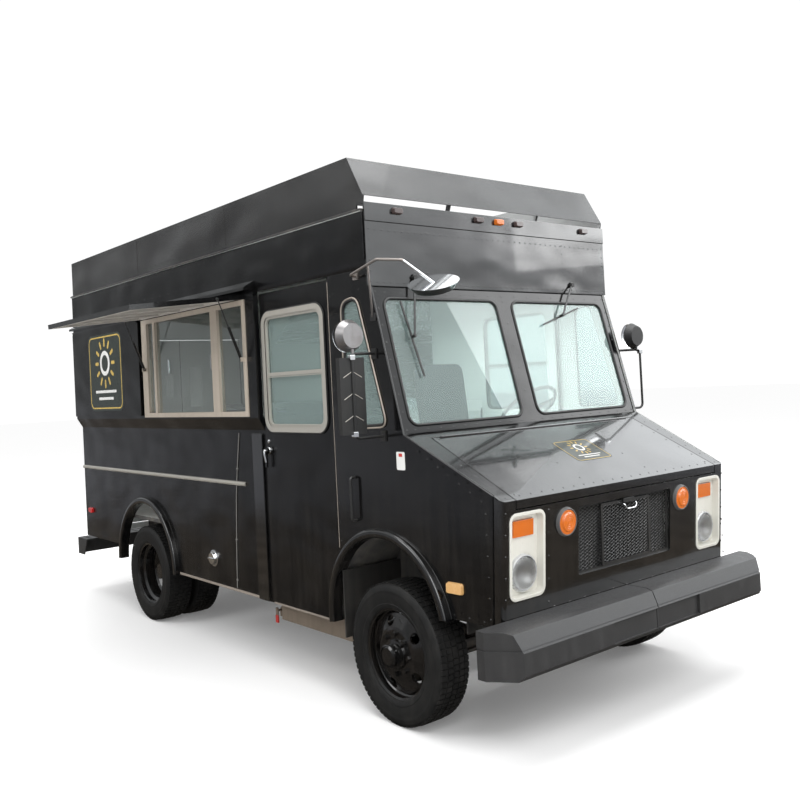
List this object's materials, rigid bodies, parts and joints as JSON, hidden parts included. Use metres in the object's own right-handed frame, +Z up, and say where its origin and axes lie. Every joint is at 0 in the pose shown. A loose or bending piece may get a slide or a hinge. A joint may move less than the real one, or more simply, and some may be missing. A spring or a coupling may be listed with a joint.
{
  "type": "food truck",
  "caption": "Walk-in step-van food truck with a top-hinged serving hatch held open on gas struts, front-hinged cab doors, hinged rear doors and steered front wheels.",
  "frame": {"origin": "centre of the plan of the bounding box, on the ground", "axes": "+Z up, +Y towards the rear of the truck, +X towards the driver (left) side"},
  "size_m": [3.1483, 6.03, 3.2319],
  "materials": {
    "body_paint": "dark gloss paint, weathered",
    "frame_black": "satin black, dusty",
    "bare_steel": "polished rod",
    "wheel_paint": "satin dark grey",
    "aluminium": "mill, dulled",
    "cast_iron": "rough, oily",
    "tyre": "worn, dusty",
    "glass": "clear",
    "amber": "lens",
    "red": "lens",
    "chrome": "bright, pitted",
    "plastic": "matt black"
  },
  "bodies": {
    "truck": {"amber_lamps": "amber", "cab_sides": "body_paint", "chassis_frame": "frame_black", "cowl": "body_paint", "dash": "frame_black", "driver_seat": "plastic", "engine_block": "cast_iron", "fixed_glass": "glass", "floor": "frame_black", "front_axle": "frame_black", "front_bumper": "wheel_paint", "galley": "aluminium", "grille": "aluminium", "header": "body_paint", "headlamp_bezels": "aluminium", "headlamps": "glass", "hinge_cover": "body_paint", "mirrors": "chrome", "nose": "body_paint", "parapet": "body_paint", "radiator": "frame_black", "rear_axle": "frame_black", "rear_bumper": "wheel_paint", "rear_wall": "body_paint", "red_lamps": "red", "roof": "body_paint", "serving_frame": "aluminium", "side_wall_left": "body_paint", "side_wall_right": "body_paint", "waste_tank": "aluminium", "windshield_frame": "aluminium", "wipers": "frame_black"},
    "steering_wheel": {"steering_wheel": "plastic"},
    "front_right_knuckle": {"front_right_knuckle": "frame_black"},
    "front_left_knuckle": {"front_left_knuckle": "frame_black"},
    "tie_rod": {"tie_rod": "frame_black"},
    "front_right_wheel": {"front_right_wheel": "wheel_paint", "front_right_tyre": "tyre"},
    "front_left_wheel": {"front_left_wheel": "wheel_paint", "front_left_tyre": "tyre"},
    "rear_right_wheels": {"rear_right_wheels": "wheel_paint", "rear_right_tyres": "tyre"},
    "rear_left_wheels": {"rear_left_wheels": "wheel_paint", "rear_left_tyres": "tyre"},
    "cab_door_right": {"door_right": "body_paint", "door_glass_right": "glass"},
    "cab_door_left": {"door_left": "body_paint", "door_glass_left": "glass"},
    "rear_door_right": {"rear_door_right": "body_paint"},
    "rear_door_left": {"rear_door_left": "body_paint"},
    "hood_lid": {"hood_lid": "body_paint"},
    "serving_hatch": {"serving_hatch": "aluminium"},
    "side_hatch": {"side_hatch": "body_paint"},
    "strut_tube_front": {"strut_tube_front": "frame_black"},
    "strut_tube_rear": {"strut_tube_rear": "frame_black"},
    "strut_rod_front": {"strut_rod_front": "bare_steel"},
    "strut_rod_rear": {"strut_rod_rear": "bare_steel"}
  },
  "joints": [
    {"name": "right_steer", "type": "hinge", "parent": "truck", "child": "front_right_knuckle", "pos_m": [-0.53311, -2.015, 0.4], "axis": [0, 0, 1], "range_deg": [-32, 32]},
    {"name": "front_right_roll", "type": "hinge", "parent": "front_right_knuckle", "child": "front_right_wheel", "pos_m": [-0.65711, -2.015, 0.4], "axis": [1, 0, 0], "continuous": true},
    {"name": "rear_right_roll", "type": "hinge", "parent": "truck", "child": "rear_right_wheels", "pos_m": [-0.48311, 1.363, 0.4], "axis": [1, 0, 0], "continuous": true},
    {"name": "cab_door_right_swing", "type": "hinge", "parent": "truck", "child": "cab_door_right", "pos_m": [-0.73561, -1.507, 1.5], "axis": [0, 0, 1], "range_deg": [0, 80]},
    {"name": "rear_door_right_swing", "type": "hinge", "parent": "truck", "child": "rear_door_right", "pos_m": [-0.38511, 2.7823, 1.5], "axis": [0, 0, 1], "range_deg": [0, 110]},
    {"name": "left_steer", "type": "hinge", "parent": "truck", "child": "front_left_knuckle", "pos_m": [1.16689, -2.015, 0.4], "axis": [0, 0, 1], "range_deg": [-32, 32]},
    {"name": "front_left_roll", "type": "hinge", "parent": "front_left_knuckle", "child": "front_left_wheel", "pos_m": [1.29089, -2.015, 0.4], "axis": [1, 0, 0], "continuous": true},
    {"name": "rear_left_roll", "type": "hinge", "parent": "truck", "child": "rear_left_wheels", "pos_m": [1.11689, 1.363, 0.4], "axis": [1, 0, 0], "continuous": true},
    {"name": "cab_door_left_swing", "type": "hinge", "parent": "truck", "child": "cab_door_left", "pos_m": [1.36939, -1.507, 1.5], "axis": [0, 0, -1], "range_deg": [0, 80]},
    {"name": "rear_door_left_swing", "type": "hinge", "parent": "truck", "child": "rear_door_left", "pos_m": [1.01889, 2.7823, 1.5], "axis": [0, 0, -1], "range_deg": [0, 110]},
    {"name": "tie_rod_turn", "type": "hinge", "parent": "front_right_knuckle", "child": "tie_rod", "pos_m": [-0.53311, -1.865, 0.32], "axis": [0, 0, 1], "range_deg": [-32, 32]},
    {"name": "steering_turn", "type": "hinge", "parent": "truck", "child": "steering_wheel", "pos_m": [0.71189, -1.765, 1.69], "axis": [0, 0.6606, 0.7507], "range_deg": [-512, 512]},
    {"name": "hood_swing", "type": "hinge", "parent": "truck", "child": "hood_lid", "pos_m": [0.31689, -2.2375, 1.5998], "axis": [-1, 0, 0], "range_deg": [0, 60]},
    {"name": "serving_hatch_swing", "type": "hinge", "parent": "truck", "child": "serving_hatch", "pos_m": [-0.80111, 0.266, 2.547], "axis": [0, 1, 0], "range_deg": [-84, 4]},
    {"name": "side_hatch_swing", "type": "hinge", "parent": "truck", "child": "side_hatch", "pos_m": [-0.80111, 1.964, 2.547], "axis": [0, 1, 0], "range_deg": [0, 84]},
    {"name": "strut_front_turn", "type": "hinge", "parent": "truck", "child": "strut_tube_front", "pos_m": [-0.80111, -0.537, 2.125], "axis": [0, 1, 0], "range_deg": [-2, 20.5]},
    {"name": "strut_front_slide", "type": "slide", "parent": "strut_tube_front", "child": "strut_rod_front", "axis": [-0.3615, 0, 0.9324], "range_m": [-0.182, 0.01]},
    {"name": "strut_rear_turn", "type": "hinge", "parent": "truck", "child": "strut_tube_rear", "pos_m": [-0.80111, 1.069, 2.125], "axis": [0, 1, 0], "range_deg": [-2, 20.5]},
    {"name": "strut_rear_slide", "type": "slide", "parent": "strut_tube_rear", "child": "strut_rod_rear", "axis": [-0.3615, 0, 0.9324], "range_m": [-0.182, 0.01]}
  ],
  "couplings": [
    {"joint": "left_steer", "follows": "right_steer", "ratio": 1},
    {"joint": "tie_rod_turn", "follows": "right_steer", "ratio": -1},
    {"joint": "steering_turn", "follows": "right_steer", "ratio": 16},
    {"joint": "strut_front_turn", "follows": "serving_hatch_swing", "ratio": -0.234},
    {"joint": "strut_front_slide", "follows": "serving_hatch_swing", "m_per_rad": 0.1228},
    {"joint": "strut_rear_turn", "follows": "serving_hatch_swing", "ratio": -0.234},
    {"joint": "strut_rear_slide", "follows": "serving_hatch_swing", "m_per_rad": 0.1228}
  ]
}
